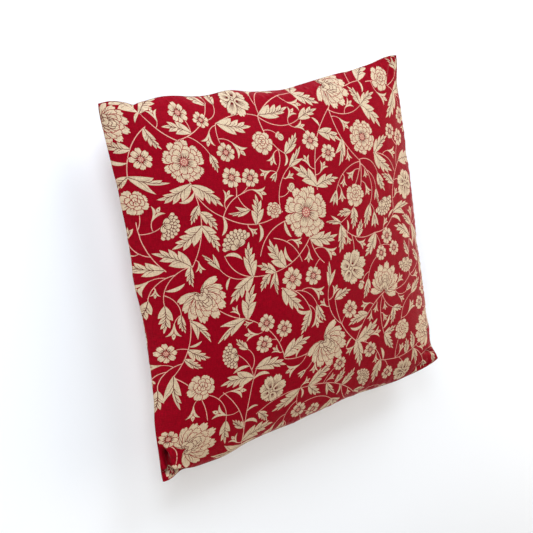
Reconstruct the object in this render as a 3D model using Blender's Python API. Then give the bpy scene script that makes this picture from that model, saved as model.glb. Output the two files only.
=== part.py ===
"""A filled square cushion cover, lying on its back.

Two square panels are sewn together round their rim with a plain knife-edge seam and filled.
The filling pulls the seam in along the sides, leaves flat little ears at the corners and
crowns both panels. The cover lies on its back panel, which is pressed flat where it rests.

Units are metres and +Z is up. The front panel faces up, its top edge towards +Y. The origin
is on the surface that the cover lies on, under the middle of the form.
"""

from collections import namedtuple

import bpy
import numpy as np

# The seam, seen from above
CORNER_REACH = 0.2215  # from the middle out to a seam corner, along X and along Y
SIDE_DRAW = {"left": 0.0120, "right": 0.0115, "top": 0.0115, "bottom": 0.0085}
CORNER_BLUNT = 0.0028  # a turned corner is a little blunt, not a sharp point
CORNER_BLUNT_SPAN = 26.0  # the higher, the closer that bluntness keeps to the tip

# The filled form
FRONT_CROWN = 0.062  # from the seam's plane up to the top of the front panel
BACK_CROWN = 0.076  # the same on the back panel, before it is pressed flat
SEAM_HEIGHT = 0.053  # the seam's plane above the surface that the cover lies on
CROWN_SQUARENESS = 2.3  # 2 is a round crown, more keeps it high nearer to the sides
SEAM_SOFTNESS = 0.014  # the higher, the flatter the panels leave the seam
PRESS_START = 0.70  # share of the seam's height at which the back starts to flatten
PRESS_END = 1.20  # and the share by which it is flat
PATCH_HALF = 0.42  # the flat patch under the cover, as a share of each panel's half width
PATCH_SLOPE = 0.022  # how the back leaves the patch: rise per share of the half width

# The mesh of each panel
CELLS = 46  # cells along each side
RIM_CROWDING = 1.35  # above 1, the cells are smaller towards the seam
SHARP_EDGE = 0.9  # radians: the seam stays a crisp edge between smooth panels

CLOTH_RED = (0.42, 0.006, 0.03, 1.0)
CLOTH_ROUGHNESS = 0.9

# How far each corner of the seam sits from its place on an even square
Ear = namedtuple("Ear", "x_side y_side dx dy dz")
EARS = [
    Ear(x_side=-1, y_side=+1, dx=+0.003, dy=+0.002, dz=+0.001),
    Ear(x_side=+1, y_side=+1, dx=-0.006, dy=+0.001, dz=-0.001),
    Ear(x_side=+1, y_side=-1, dx=-0.001, dy=+0.010, dz=+0.006),
    Ear(x_side=-1, y_side=-1, dx=-0.003, dy=-0.001, dz=+0.002),
]
EAR_SPAN = 3.0  # the higher, the closer an ear's shift keeps to its corner

# Soft puckers that start at the seam and run in across a panel. "along" is the place on the
# side, from -1 to 1; the other columns are in metres.
Pucker = namedtuple("Pucker", "side along reach depth half_width")
FRONT_PUCKERS = [
    Pucker("left", -0.56, 0.060, 0.0018, 0.013),
    Pucker("left", -0.22, 0.052, 0.0012, 0.012),
    Pucker("left", 0.18, 0.064, 0.0016, 0.015),
    Pucker("left", 0.58, 0.050, 0.0013, 0.012),
    Pucker("right", -0.62, 0.055, 0.0016, 0.013),
    Pucker("right", -0.12, 0.062, 0.0018, 0.016),
    Pucker("right", 0.44, 0.054, 0.0014, 0.013),
    Pucker("top", -0.74, 0.045, 0.0022, 0.010),
    Pucker("top", -0.30, 0.056, 0.0014, 0.014),
    Pucker("top", 0.12, 0.060, 0.0016, 0.015),
    Pucker("top", 0.62, 0.050, 0.0018, 0.012),
    Pucker("bottom", -0.48, 0.058, 0.0022, 0.014),
    Pucker("bottom", -0.05, 0.050, 0.0014, 0.012),
    Pucker("bottom", 0.36, 0.060, 0.0022, 0.015),
    Pucker("bottom", 0.74, 0.044, 0.0016, 0.011),
]
BACK_PUCKERS = [
    Pucker("left", -0.40, 0.056, 0.0016, 0.014),
    Pucker("left", 0.36, 0.060, 0.0018, 0.014),
    Pucker("right", -0.36, 0.058, 0.0018, 0.015),
    Pucker("right", 0.20, 0.052, 0.0014, 0.013),
    Pucker("top", -0.46, 0.054, 0.0016, 0.014),
    Pucker("top", 0.34, 0.062, 0.0018, 0.015),
    Pucker("bottom", -0.24, 0.058, 0.0016, 0.014),
    Pucker("bottom", 0.54, 0.054, 0.0018, 0.013),
]
SEAM_WAVE_SHARE = 0.45  # how much of a pucker's depth also draws the seam in
RELIEF_MARGIN = 0.010  # near the seam no fold is deeper than the panel stands there

# The folds where the front panel buckles at three of its corners, from one end to the other
Fold = namedtuple("Fold", "x0 y0 x1 y1 depth half_width")
FRONT_FOLDS = [
    Fold(x0=-0.219, y0=-0.202, x1=-0.182, y1=-0.208, depth=0.0060, half_width=0.0045),
    Fold(x0=-0.216, y0=-0.200, x1=-0.206, y1=-0.174, depth=0.0050, half_width=0.0050),
    Fold(x0=0.213, y0=-0.190, x1=0.188, y1=-0.180, depth=0.0030, half_width=0.0060),
    Fold(x0=0.205, y0=0.207, x1=0.190, y1=0.188, depth=0.0022, half_width=0.0055),
]


def clear_scene():
    """Removes whatever objects the scene holds."""
    for item in list(bpy.data.objects):
        bpy.data.objects.remove(item, do_unlink=True)


def rim_crowded(count):
    """Returns count + 1 values from -1 to 1 that lie closer together towards both ends."""
    even = np.linspace(-1.0, 1.0, count + 1)
    return np.sign(even) * (1.0 - (1.0 - np.abs(even)) ** RIM_CROWDING)


def flat_grid():
    """Returns the two flat coordinates of a panel's grid, each from -1 to 1."""
    along = rim_crowded(CELLS)
    return np.meshgrid(along, along, indexing="ij")


def crown_share(u, v):
    """Returns how high the filled panel stands at (u, v): 0 on the seam, 1 in the middle."""
    inside = (1.0 - np.abs(u) ** CROWN_SQUARENESS) * (1.0 - np.abs(v) ** CROWN_SQUARENESS)
    low = np.sqrt(SEAM_SOFTNESS)
    high = np.sqrt(1.0 + SEAM_SOFTNESS)
    return (np.sqrt(inside + SEAM_SOFTNESS) - low) / (high - low)


def side_terms(side, u, v):
    """Returns the place along a side, the distance in from it and the unit step inwards."""
    terms = {
        "left": (v, 1.0 + u, (1.0, 0.0)),
        "right": (v, 1.0 - u, (-1.0, 0.0)),
        "top": (u, 1.0 - v, (0.0, -1.0)),
        "bottom": (u, 1.0 + v, (0.0, 1.0)),
    }
    along, distance, inwards = terms[side]
    return along, distance * CORNER_REACH, inwards


def pucker_shape(pucker, u, v):
    """Returns a pucker's trough, from 1 at the seam to 0 at the end of its reach."""
    along, distance, _ = side_terms(pucker.side, u, v)
    across = (along - pucker.along) * CORNER_REACH / pucker.half_width
    fade = np.clip(1.0 - distance / pucker.reach, 0.0, 1.0)
    return np.exp(-across * across) * fade * fade * (3.0 - 2.0 * fade)


def fold_shape(fold, x, y):
    """Returns a fold's trough, from 0 to 1, round the line between its two ends."""
    run = np.array([fold.x1 - fold.x0, fold.y1 - fold.y0])
    length = np.hypot(run[0], run[1])
    place = ((x - fold.x0) * run[0] + (y - fold.y0) * run[1]) / length**2
    nearest = np.clip(place, 0.0, 1.0)
    gap = np.hypot(x - fold.x0 - nearest * run[0], y - fold.y0 - nearest * run[1])
    return np.exp(-((gap / fold.half_width) ** 2))


def plan(u, v):
    """Returns x and y of the filled cover, its sides drawn in between the corners."""
    x_draw = np.where(u < 0.0, SIDE_DRAW["left"], SIDE_DRAW["right"])
    y_draw = np.where(v < 0.0, SIDE_DRAW["bottom"], SIDE_DRAW["top"])
    x = u * (CORNER_REACH - x_draw * (1.0 - v * v))
    y = v * (CORNER_REACH - y_draw * (1.0 - u * u))
    for pucker in FRONT_PUCKERS:
        _, _, inwards = side_terms(pucker.side, u, v)
        pull = SEAM_WAVE_SHARE * pucker.depth * pucker_shape(pucker, u, v)
        x = x + inwards[0] * pull
        y = y + inwards[1] * pull
    blunt = CORNER_BLUNT * np.abs(u * v) ** CORNER_BLUNT_SPAN
    return x - np.sign(u) * blunt, y - np.sign(v) * blunt


def pressed(height_below_seam):
    """Flattens what would reach below the surface that the cover lies on."""
    share = height_below_seam / SEAM_HEIGHT
    bend = 1.0 - (PRESS_END - share) ** 2 / (2.0 * (PRESS_END - PRESS_START))
    eased = np.where(share < PRESS_START, share, bend)
    return SEAM_HEIGHT * np.where(share > PRESS_END, 1.0, eased)


def with_ears(x, y, z, u, v):
    """Shifts each corner to where its ear points, and the cloth round it with it."""
    for ear in EARS:
        nearness = (0.5 + 0.5 * ear.x_side * u) * (0.5 + 0.5 * ear.y_side * v)
        share = nearness**EAR_SPAN
        x = x + ear.dx * share
        y = y + ear.dy * share
        z = z + ear.dz * share
    return x, y, z


def relief(depth, rise):
    """Keeps a fold's depth within what the panel stands proud of the seam."""
    return depth * np.clip(rise / RELIEF_MARGIN, 0.0, 1.0)


def front_panel(u, v):
    """Returns the front panel's points: crowned, puckered and folded."""
    x, y = plan(u, v)
    rise = FRONT_CROWN * crown_share(u, v)
    depth = sum(pucker.depth * pucker_shape(pucker, u, v) for pucker in FRONT_PUCKERS)
    depth = depth + sum(fold.depth * fold_shape(fold, x, y) for fold in FRONT_FOLDS)
    z = SEAM_HEIGHT + rise - relief(depth, rise)
    return with_ears(x, y, z, u, v)


def back_panel(u, v):
    """Returns the back panel's points: crowned downwards and pressed flat where it rests."""
    x, y = plan(u, v)
    rise = BACK_CROWN * crown_share(u, v)
    depth = sum(pucker.depth * pucker_shape(pucker, u, v) for pucker in BACK_PUCKERS)
    below = pressed(rise - relief(depth, rise))
    off_patch = np.clip(np.maximum(np.abs(u), np.abs(v)) - PATCH_HALF, 0.0, None)
    z = np.maximum(SEAM_HEIGHT - below, PATCH_SLOPE * off_patch)
    x, y, lift = with_ears(x, y, np.zeros_like(x), u, v)
    return x, y, z + lift * z / SEAM_HEIGHT


def number_points(on_rim):
    """Numbers the grid points of both panels. They share the points of the seam."""
    size = on_rim.shape[0]
    front = np.arange(size * size).reshape(size, size)
    back = front.copy()
    inner = ~on_rim
    back[inner] = size * size + np.arange(np.count_nonzero(inner))
    return front, back


def panel_faces(numbers, faces_up):
    """Returns the quads of one panel, wound so that their normals point out."""
    faces = []
    for i in range(CELLS):
        for j in range(CELLS):
            corners = [numbers[i, j], numbers[i + 1, j], numbers[i + 1, j + 1], numbers[i, j + 1]]
            if not faces_up:
                corners.reverse()
            faces.append([int(corner) for corner in corners])
    return faces


def centred(points):
    """Puts the middle of the form over the origin and its lowest point at height 0."""
    low = points.min(axis=0)
    high = points.max(axis=0)
    middle = 0.5 * (low + high)
    return points - np.array([middle[0], middle[1], low[2]])


def cloth_material():
    """Returns the matt red cloth of the cover."""
    material = bpy.data.materials.new("printed_cloth")
    material.use_nodes = True
    surface = material.node_tree.nodes["Principled BSDF"]
    surface.inputs["Base Color"].default_value = CLOTH_RED
    surface.inputs["Roughness"].default_value = CLOTH_ROUGHNESS
    surface.inputs["Metallic"].default_value = 0.0
    return material


def build_cover():
    """Builds the filled cover as one closed solid."""
    u, v = flat_grid()
    on_rim = (np.abs(u) == 1.0) | (np.abs(v) == 1.0)
    front_numbers, back_numbers = number_points(on_rim)
    front = np.stack(front_panel(u, v), axis=-1).reshape(-1, 3)
    back = np.stack(back_panel(u, v), axis=-1)[~on_rim]
    points = centred(np.concatenate([front, back]))
    faces = panel_faces(front_numbers, faces_up=True) + panel_faces(back_numbers, faces_up=False)

    mesh = bpy.data.meshes.new("filled_cover")
    mesh.from_pydata(points.tolist(), [], faces)
    mesh.update()
    mesh.shade_smooth()
    mesh.set_sharp_from_angle(angle=SHARP_EDGE)
    mesh.materials.append(cloth_material())
    cover = bpy.data.objects.new("filled_cover", mesh)
    bpy.context.scene.collection.objects.link(cover)
    return cover


def main():
    clear_scene()
    build_cover()


main()
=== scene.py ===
"""A filled, square cushion cover of printed cotton that lies on its back.

Two panels of cloth meet in a plain knife-edge seam. Their filled form is worked out from the
same sizes as the CAD solid's, settled as cloth under pressure, and then covered with a printed
floral pattern whose outlines are cut into the mesh, so that its edges stay crisp.
"""

import math
from collections import namedtuple

import bmesh
import bpy
import numpy as np
from mathutils import Matrix, Vector
from mathutils.bvhtree import BVHTree
from mathutils.geometry import delaunay_2d_cdt


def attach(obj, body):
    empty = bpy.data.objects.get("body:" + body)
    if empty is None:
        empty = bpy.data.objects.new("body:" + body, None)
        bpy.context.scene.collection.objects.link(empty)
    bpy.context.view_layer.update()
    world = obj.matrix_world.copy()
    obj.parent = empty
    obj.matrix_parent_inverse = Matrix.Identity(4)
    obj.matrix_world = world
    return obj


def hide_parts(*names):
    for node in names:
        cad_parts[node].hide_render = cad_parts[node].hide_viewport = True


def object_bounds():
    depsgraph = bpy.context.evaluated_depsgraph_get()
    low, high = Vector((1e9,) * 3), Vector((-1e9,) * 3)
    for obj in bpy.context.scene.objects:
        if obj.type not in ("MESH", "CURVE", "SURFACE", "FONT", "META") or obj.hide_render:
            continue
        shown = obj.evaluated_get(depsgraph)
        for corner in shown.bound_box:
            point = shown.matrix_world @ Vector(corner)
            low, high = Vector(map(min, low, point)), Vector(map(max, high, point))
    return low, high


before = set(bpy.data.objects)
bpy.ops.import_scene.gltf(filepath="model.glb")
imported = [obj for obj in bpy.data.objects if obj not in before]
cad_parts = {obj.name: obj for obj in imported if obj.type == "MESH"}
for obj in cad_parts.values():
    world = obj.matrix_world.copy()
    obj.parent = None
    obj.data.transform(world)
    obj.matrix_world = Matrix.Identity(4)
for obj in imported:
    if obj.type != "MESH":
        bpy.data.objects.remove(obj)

CAD_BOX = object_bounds()
MM = 0.001


def rows_of(kind, table):
    """Returns a table's rows as named tuples, each with its group's name in front."""
    return [kind(name, *row) for name, rows in table.items() for row in rows]


# ---- sizes of the filled form, in metres or as shares of the form
# They are the CAD solid's own sizes, so that the cloth lies on that solid.

CORNER_REACH = 0.2215
SIDE_DRAW = {"left": 0.0120, "right": 0.0115, "top": 0.0115, "bottom": 0.0085}
CORNER_BLUNT = 0.0028
CORNER_BLUNT_SPAN = 26.0
FRONT_CROWN = 0.062
BACK_CROWN = 0.076
SEAM_HEIGHT = 0.053
CROWN_SQUARENESS = 2.3
SEAM_SOFTNESS = 0.014
PRESS_START = 0.70
PRESS_END = 1.20
PATCH_HALF = 0.42
PATCH_SLOPE = 0.022
RELIEF_MARGIN = 0.010
SEAM_WAVE_SHARE = 0.45

Ear = namedtuple("Ear", "x_side y_side dx dy dz")
EAR_SPAN = 3.0
EARS = [
    Ear(-1, +1, +0.003, +0.002, +0.001),
    Ear(+1, +1, -0.006, +0.001, -0.001),
    Ear(+1, -1, -0.001, +0.010, +0.006),
    Ear(-1, -1, -0.003, -0.001, +0.002),
]

Pucker = namedtuple("Pucker", "side along reach depth half_width")
FRONT_PUCKERS = rows_of(Pucker, {
    "left": [
        (-0.56, 0.060, 0.0018, 0.013), (-0.22, 0.052, 0.0012, 0.012),
        (0.18, 0.064, 0.0016, 0.015), (0.58, 0.050, 0.0013, 0.012),
    ],
    "right": [
        (-0.62, 0.055, 0.0016, 0.013), (-0.12, 0.062, 0.0018, 0.016),
        (0.44, 0.054, 0.0014, 0.013),
    ],
    "top": [
        (-0.74, 0.045, 0.0022, 0.010), (-0.30, 0.056, 0.0014, 0.014),
        (0.12, 0.060, 0.0016, 0.015), (0.62, 0.050, 0.0018, 0.012),
    ],
    "bottom": [
        (-0.48, 0.058, 0.0022, 0.014), (-0.05, 0.050, 0.0014, 0.012),
        (0.36, 0.060, 0.0022, 0.015), (0.74, 0.044, 0.0016, 0.011),
    ],
})
BACK_PUCKERS = rows_of(Pucker, {
    "left": [(-0.40, 0.056, 0.0016, 0.014), (0.36, 0.060, 0.0018, 0.014)],
    "right": [(-0.36, 0.058, 0.0018, 0.015), (0.20, 0.052, 0.0014, 0.013)],
    "top": [(-0.46, 0.054, 0.0016, 0.014), (0.34, 0.062, 0.0018, 0.015)],
    "bottom": [(-0.24, 0.058, 0.0016, 0.014), (0.54, 0.054, 0.0018, 0.013)],
})

# ---- finer forms that only the cloth has, in metres

TIP_SPAN = 18.0
TIPS = [
    # the corners' very tips, sharper than the CAD solid's ears
    Ear(+1, +1, -0.001, +0.003, +0.003),
    Ear(+1, -1, -0.002, +0.010, +0.009),
    Ear(-1, -1, -0.001, +0.001, +0.004),
    Ear(-1, +1, +0.000, +0.001, +0.001),
]

Swell = namedtuple("Swell", "side along span out")
SWELL_REACH = 0.075
SWELLS = rows_of(Swell, {
    # where the seam stands out or is drawn in more than the even curve of its side
    "top": [
        (-0.91, 0.050, +0.0015), (-0.80, 0.022, -0.0030), (-0.60, 0.140, +0.0048),
        (-0.24, 0.110, +0.0046), (0.16, 0.200, -0.0026), (0.90, 0.090, +0.0024),
    ],
    "bottom": [
        (-0.87, 0.050, -0.0040), (-0.60, 0.150, +0.0042), (-0.12, 0.160, +0.0022),
        (0.22, 0.070, -0.0020), (0.68, 0.160, +0.0022),
    ],
    "left": [(0.10, 0.150, +0.0034), (-0.68, 0.160, +0.0026)],
    "right": [(0.35, 0.250, +0.0020), (-0.84, 0.080, -0.0042), (0.84, 0.080, -0.0030)],
})

Crease = namedtuple("Crease", "x0 y0 x1 y1 depth half_width lip")
FRONT_CREASES = [
    Crease(-0.2090, -0.2050, -0.2110, -0.1890, 0.0105, 0.0028, 0.22),
    Crease(-0.2110, -0.1890, -0.2180, -0.1660, 0.0085, 0.0028, 0.3),
    Crease(-0.1900, -0.2150, -0.2190, -0.2080, 0.0090, 0.0025, 0.3),
    Crease(-0.1650, 0.2000, -0.1780, 0.2165, 0.0030, 0.0026, 0.5),
    Crease(0.2150, -0.1900, 0.1980, -0.1830, 0.0034, 0.0030, 0.15),
    Crease(0.1800, -0.2030, 0.2080, -0.2060, 0.0024, 0.0030, 0.4),
    Crease(0.2040, 0.2130, 0.1880, 0.1900, 0.0026, 0.0034, 0.4),
]
CREASE_CLEAR = 7.0 * MM  # the creases fade out this close to the seam
SEAM_GROOVE = 0.7 * MM
SEAM_GROOVE_HALF = 1.6 * MM
GATHER_DEPTH = 0.30 * MM
GATHER_REACH = 9.0 * MM
GATHER_WAVE = 11.0 * MM
GATHER_DRIFT = 47.0 * MM
SETTLED_REACH = 1.5 * MM  # how far to each side a normal is measured
RELIEF_REACH = 0.5 * MM

# ---- sizes of the cloth

CLOTH_SIDE = 0.450  # each panel, flat, between its seams
PANEL_HALF = 0.5 * CLOTH_SIDE
PRINT_HALF = 0.232  # the print runs on past the seam by a seam allowance
CHART_SHARE = 0.98  # how much of the UV square a panel's side takes up
EDGE_STEP = 2.0 * MM  # points along the seam
GRID_STEP = 3.6 * MM  # points across the panel
CORNER_STEP = 1.4 * MM  # points in the creased corners
CORNER_ZONE = 45.0 * MM
CLEAR_CELL = 1.6 * MM
WELD = 1e-7  # metres within which cutting joins two points

SETTLE_CELLS = 80  # along each side of the grid that settles under pressure
SETTLE_FRAMES = 25
SETTLE_CAP = 6.0 * MM  # how far a point may move
REST_SIDE = 0.462
CLOTH_FEEL = {
    # how the cloth takes each kind of strain: stiffness and damping
    "tension": (60.0, 20.0),
    "compression": (20.0, 20.0),
    "shear": (2.0, 20.0),
    "bending": (0.3, 2.0),
}

# ---- colours, linear RGB

GROUND, CREAM, LINE, STEM, BLUSH = range(5)
INKS = {
    GROUND: (0.228, 0.0006, 0.0085),
    CREAM: (0.530, 0.424, 0.300),
    LINE: (0.110, 0.010, 0.010),
    STEM: (0.600, 0.350, 0.280),
    BLUSH: (0.400, 0.110, 0.100),
}
WHITE = (1.0, 1.0, 1.0, 1.0)
FLOOR_COLOUR = (0.745, 0.80, 0.87, 1.0)
SHEEN_TINT = (1.0, 0.9, 0.85, 1.0)

# ---- the cotton: how much each part of its look counts, and scales per millimetre

THREAD = 0.62  # millimetres from one thread of the weave to the next
SPECKLE = 0.60
SLUB_SHADE = 0.75
CLOUDING = 0.10
WEAVE_SHADE = 0.10
WEAVE_BUMP = 0.35
SLUB_BUMP = 0.25
SLUB_STRETCH = 0.15
SPECKLE_SCALE = 0.7
CLOUD_SCALE = 0.03

# ---- light and camera, in metres

Lamp = namedtuple("Lamp", "name place size power colour")
LAMPS = [
    Lamp("left_key", Vector((-0.55, 1.00, 0.85)), 0.7, 10.9, (0.93, 0.96, 1.0)),
    Lamp("right_key", Vector((0.60, 1.05, 0.80)), 0.7, 12.4, (0.93, 0.96, 1.0)),
    Lamp("high_fill", Vector((-0.60, 0.60, 1.30)), 0.9, 5.6, (1.0, 0.99, 0.97)),
    Lamp("near_fill", Vector((-0.90, -0.90, 0.70)), 0.9, 8.6, (1.0, 0.88, 0.74)),
    Lamp("right_fill", Vector((1.20, -0.20, 0.50)), 0.9, 11.8, (1.0, 0.88, 0.75)),
]
ROOM_LIGHT = 0.06
HORIZON = (0.10, 0.40)  # the room fades from white to its own light between these heights
FLOOR_HALF = 4.0
FLOOR_GLOW = 0.145  # painted light: the floor glows of its own near the cover, so it stays pale and its shadows stay light
# painted light: the far floor glows brighter still, up to this
FAR_GLOW = 0.95
GLOW_START = 0.7  # from the middle of the cover
GLOW_END = 1.7

CAMERA_PLACE = Vector((-0.6004, 0.2342, 0.9712))
CAMERA_TARGET = Vector((-0.0310, -0.0060, 0.0530))
CAMERA_ROLL = -8.52  # degrees round the view's own axis
CAMERA_LENS = 60.66  # mm on a 36 mm wide sensor


# ---- the filled form


def side_terms(side, u, v):
    """Returns the place along a side, the distance in from it and the unit step inwards."""
    terms = {
        "left": (v, 1.0 + u, (1.0, 0.0)),
        "right": (v, 1.0 - u, (-1.0, 0.0)),
        "top": (u, 1.0 - v, (0.0, -1.0)),
        "bottom": (u, 1.0 + v, (0.0, 1.0)),
    }
    along, distance, inwards = terms[side]
    return along, distance * CORNER_REACH, inwards


def crown_share(u, v):
    """Returns how high the filled panel stands at (u, v): 0 on the seam, 1 in the middle."""
    inside = (1.0 - np.abs(u) ** CROWN_SQUARENESS) * (1.0 - np.abs(v) ** CROWN_SQUARENESS)
    low = np.sqrt(SEAM_SOFTNESS)
    high = np.sqrt(1.0 + SEAM_SOFTNESS)
    return (np.sqrt(inside + SEAM_SOFTNESS) - low) / (high - low)


def pucker_shape(pucker, u, v):
    """Returns a pucker's trough, from 0 to 1."""
    along, distance, _ = side_terms(pucker.side, u, v)
    across = (along - pucker.along) * CORNER_REACH / pucker.half_width
    fade = np.clip(1.0 - distance / pucker.reach, 0.0, 1.0)
    return np.exp(-across * across) * fade * fade * (3.0 - 2.0 * fade)


def plan(u, v):
    """Returns x and y of the filled cover, its sides drawn in between the corners."""
    x_draw = np.where(u < 0.0, SIDE_DRAW["left"], SIDE_DRAW["right"])
    y_draw = np.where(v < 0.0, SIDE_DRAW["bottom"], SIDE_DRAW["top"])
    x = u * (CORNER_REACH - x_draw * (1.0 - v * v))
    y = v * (CORNER_REACH - y_draw * (1.0 - u * u))
    for pucker in FRONT_PUCKERS:
        _, _, inwards = side_terms(pucker.side, u, v)
        pull = SEAM_WAVE_SHARE * pucker.depth * pucker_shape(pucker, u, v)
        x = x + inwards[0] * pull
        y = y + inwards[1] * pull
    for swell in SWELLS:
        along, distance, inwards = side_terms(swell.side, u, v)
        push = swell.out * np.exp(-(((along - swell.along) / swell.span) ** 2))
        push = push * np.clip(1.0 - distance / SWELL_REACH, 0.0, 1.0) ** 2
        x = x - inwards[0] * push
        y = y - inwards[1] * push
    blunt = CORNER_BLUNT * np.abs(u * v) ** CORNER_BLUNT_SPAN
    return x - np.sign(u) * blunt, y - np.sign(v) * blunt


def pressed(height_below_seam):
    """Flattens what would reach below the surface that the cover lies on."""
    share = height_below_seam / SEAM_HEIGHT
    bend = 1.0 - (PRESS_END - share) ** 2 / (2.0 * (PRESS_END - PRESS_START))
    eased = np.where(share < PRESS_START, share, bend)
    return SEAM_HEIGHT * np.where(share > PRESS_END, 1.0, eased)


def with_ears(x, y, z, u, v):
    """Shifts each corner to where its ear points, and the cloth round it with it."""
    for ears, span in ((EARS, EAR_SPAN), (TIPS, TIP_SPAN)):
        for ear in ears:
            nearness = (0.5 + 0.5 * ear.x_side * u) * (0.5 + 0.5 * ear.y_side * v)
            share = nearness**span
            x = x + ear.dx * share
            y = y + ear.dy * share
            z = z + ear.dz * share
    return x, y, z


def puckered(rise, puckers, u, v):
    """Returns a panel's rise from the seam less the depth of its puckers."""
    depth = sum(pucker.depth * pucker_shape(pucker, u, v) for pucker in puckers)
    return rise - depth * np.clip(rise / RELIEF_MARGIN, 0.0, 1.0)


def front_form(u, v):
    """Returns the front panel's points."""
    x, y = plan(u, v)
    z = SEAM_HEIGHT + puckered(FRONT_CROWN * crown_share(u, v), FRONT_PUCKERS, u, v)
    return np.stack(with_ears(x, y, z, u, v), axis=-1)


def back_form(u, v):
    """Returns the back panel's points, pressed flat where the cover rests."""
    x, y = plan(u, v)
    below = pressed(puckered(BACK_CROWN * crown_share(u, v), BACK_PUCKERS, u, v))
    off_patch = np.clip(np.maximum(np.abs(u), np.abs(v)) - PATCH_HALF, 0.0, None)
    z = np.maximum(SEAM_HEIGHT - below, PATCH_SLOPE * off_patch)
    x, y, lift = with_ears(x, y, np.zeros_like(x), u, v)
    return np.stack([x, y, z + lift * z / SEAM_HEIGHT], axis=-1)


def settle_grid():
    """Returns u and v, from -1 to 1, of the grid that the form is worked out on."""
    along = np.linspace(-1.0, 1.0, SETTLE_CELLS + 1)
    return np.meshgrid(along, along, indexing="ij")


def form_grids():
    """Returns both panels as grids of points, placed in the frame's own box."""
    u, v = settle_grid()
    front = front_form(u, v)
    back = back_form(u, v)
    both = np.concatenate([front.reshape(-1, 3), back.reshape(-1, 3)])
    middle = 0.5 * (both.min(axis=0) + both.max(axis=0))
    box_middle = 0.5 * (CAD_BOX[0] + CAD_BOX[1])
    shift = np.array([box_middle.x - middle[0], box_middle.y - middle[1], CAD_BOX[0].z])
    return front + shift, back + shift


# ---- settling as cloth


def add_object(name, data):
    """Adds an object to the scene."""
    added = bpy.data.objects.new(name, data)
    bpy.context.scene.collection.objects.link(added)
    return added


def shell_faces(front, back):
    """Returns the quads of the closed shell, front and back, wound outwards."""
    faces = []
    for i in range(SETTLE_CELLS):
        for j in range(SETTLE_CELLS):
            for numbers, order in ((front, 1), (back, -1)):
                corners = [numbers[i, j], numbers[i + 1, j], numbers[i + 1, j + 1], numbers[i, j + 1]]
                faces.append([int(corner) for corner in corners[::order]])
    return faces


def settled(front, back):
    """Lets the shell settle as cloth under pressure, and returns its two panels again.

    The cloth's rest shape is flat and a little larger than the drawn-in form, so that it
    puckers along the seam while the filling keeps its volume.
    """
    u, v = settle_grid()
    inner = (np.abs(u) < 1.0) & (np.abs(v) < 1.0)
    front_numbers = np.arange(u.size).reshape(u.shape)
    back_numbers = front_numbers.copy()
    back_numbers[inner] = u.size + np.arange(np.count_nonzero(inner))

    points = np.concatenate([front.reshape(-1, 3), back[inner]])
    flat = 0.5 * REST_SIDE * np.stack([u, v, np.zeros_like(u)], axis=-1)
    rest = np.concatenate([flat.reshape(-1, 3), flat[inner]])

    mesh = bpy.data.meshes.new("settling_shell")
    mesh.from_pydata(points.tolist(), [], shell_faces(front_numbers, back_numbers))
    shell = add_object("settling_shell", mesh)
    shell.shape_key_add(name="Basis")
    flat_key = shell.shape_key_add(name="flat")
    flat_key.data.foreach_set("co", rest.astype(np.float32).ravel())
    flat_key.value = 0.0

    measured = bmesh.new()
    measured.from_mesh(mesh)
    volume = measured.calc_volume()
    measured.free()

    settings = shell.modifiers.new("Cloth", "CLOTH").settings
    for strain, (stiffness, damping) in CLOTH_FEEL.items():
        setattr(settings, strain + "_stiffness", stiffness)
        setattr(settings, strain + "_damping", damping)
    settings.quality = 6
    settings.mass = 0.25
    settings.air_damping = 5.0
    settings.effector_weights.gravity = 0.0
    settings.use_pressure = True
    settings.uniform_pressure_force = 0.0
    settings.use_pressure_volume = True
    settings.target_volume = volume
    settings.pressure_factor = 4.0
    settings.rest_shape_key = flat_key

    for step in range(1, SETTLE_FRAMES + 1):
        bpy.context.scene.frame_set(step)
    result = shell.evaluated_get(bpy.context.evaluated_depsgraph_get()).to_mesh()
    moved = np.empty(3 * len(result.vertices), dtype=np.float32)
    result.vertices.foreach_get("co", moved)
    moved = moved.reshape(-1, 3).astype(float)
    bpy.context.scene.frame_set(1)
    bpy.data.objects.remove(shell, do_unlink=True)
    bpy.data.meshes.remove(mesh)

    step = moved - points
    length = np.linalg.norm(step, axis=1, keepdims=True)
    step *= np.minimum(1.0, SETTLE_CAP / np.maximum(length, 1e-9))
    points = points + step
    points[:, 2] = np.maximum(points[:, 2], CAD_BOX[0].z)
    return points[front_numbers], points[back_numbers]


# ---- drawing in the plane: places and outlines are complex numbers


def turned(degrees):
    """Returns the unit step in a direction."""
    return complex(math.cos(math.radians(degrees)), math.sin(math.radians(degrees)))


def heading_of(step):
    """Returns the direction of a step, in degrees."""
    return math.degrees(math.atan2(step.imag, step.real))


def quad(a, b, c, count):
    """Returns points on the curve from a to c that is drawn towards b, without its end."""
    t = np.linspace(0.0, 1.0, count, endpoint=False)
    return (1 - t) ** 2 * a + 2 * t * (1 - t) * b + t**2 * c


def bent(points, curl):
    """Bends a shape that lies along the real axis, by curl radians over its unit length."""
    if abs(curl) < 1e-6:
        return points
    turn = np.exp(1j * curl * points.real)
    return (turn - 1.0) / (1j * curl) + 1j * turn * points.imag


def ribbon(spine, start_width, end_width):
    """Returns the outline of a tapering stroke along the spine's points."""
    step = np.gradient(spine)
    normal = 1j * step / np.abs(step)
    half = 0.5 * np.linspace(start_width, end_width, len(spine))
    return np.concatenate([spine + half * normal, (spine - half * normal)[::-1]])


def vein(start, control, end, start_width, end_width, count=5):
    """Returns a dark, tapering curved line."""
    spine = np.append(quad(start, control, end, count), end)
    return LINE, ribbon(spine, start_width, end_width)


def ray(start, end, start_width, end_width):
    """Returns a dark, tapering straight line."""
    return LINE, ribbon(np.array([start, end]), start_width, end_width)


def disc(at, radius, count):
    """Returns the outline of a small disc."""
    return at + radius * np.exp(2j * math.pi * np.arange(count) / count)


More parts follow.
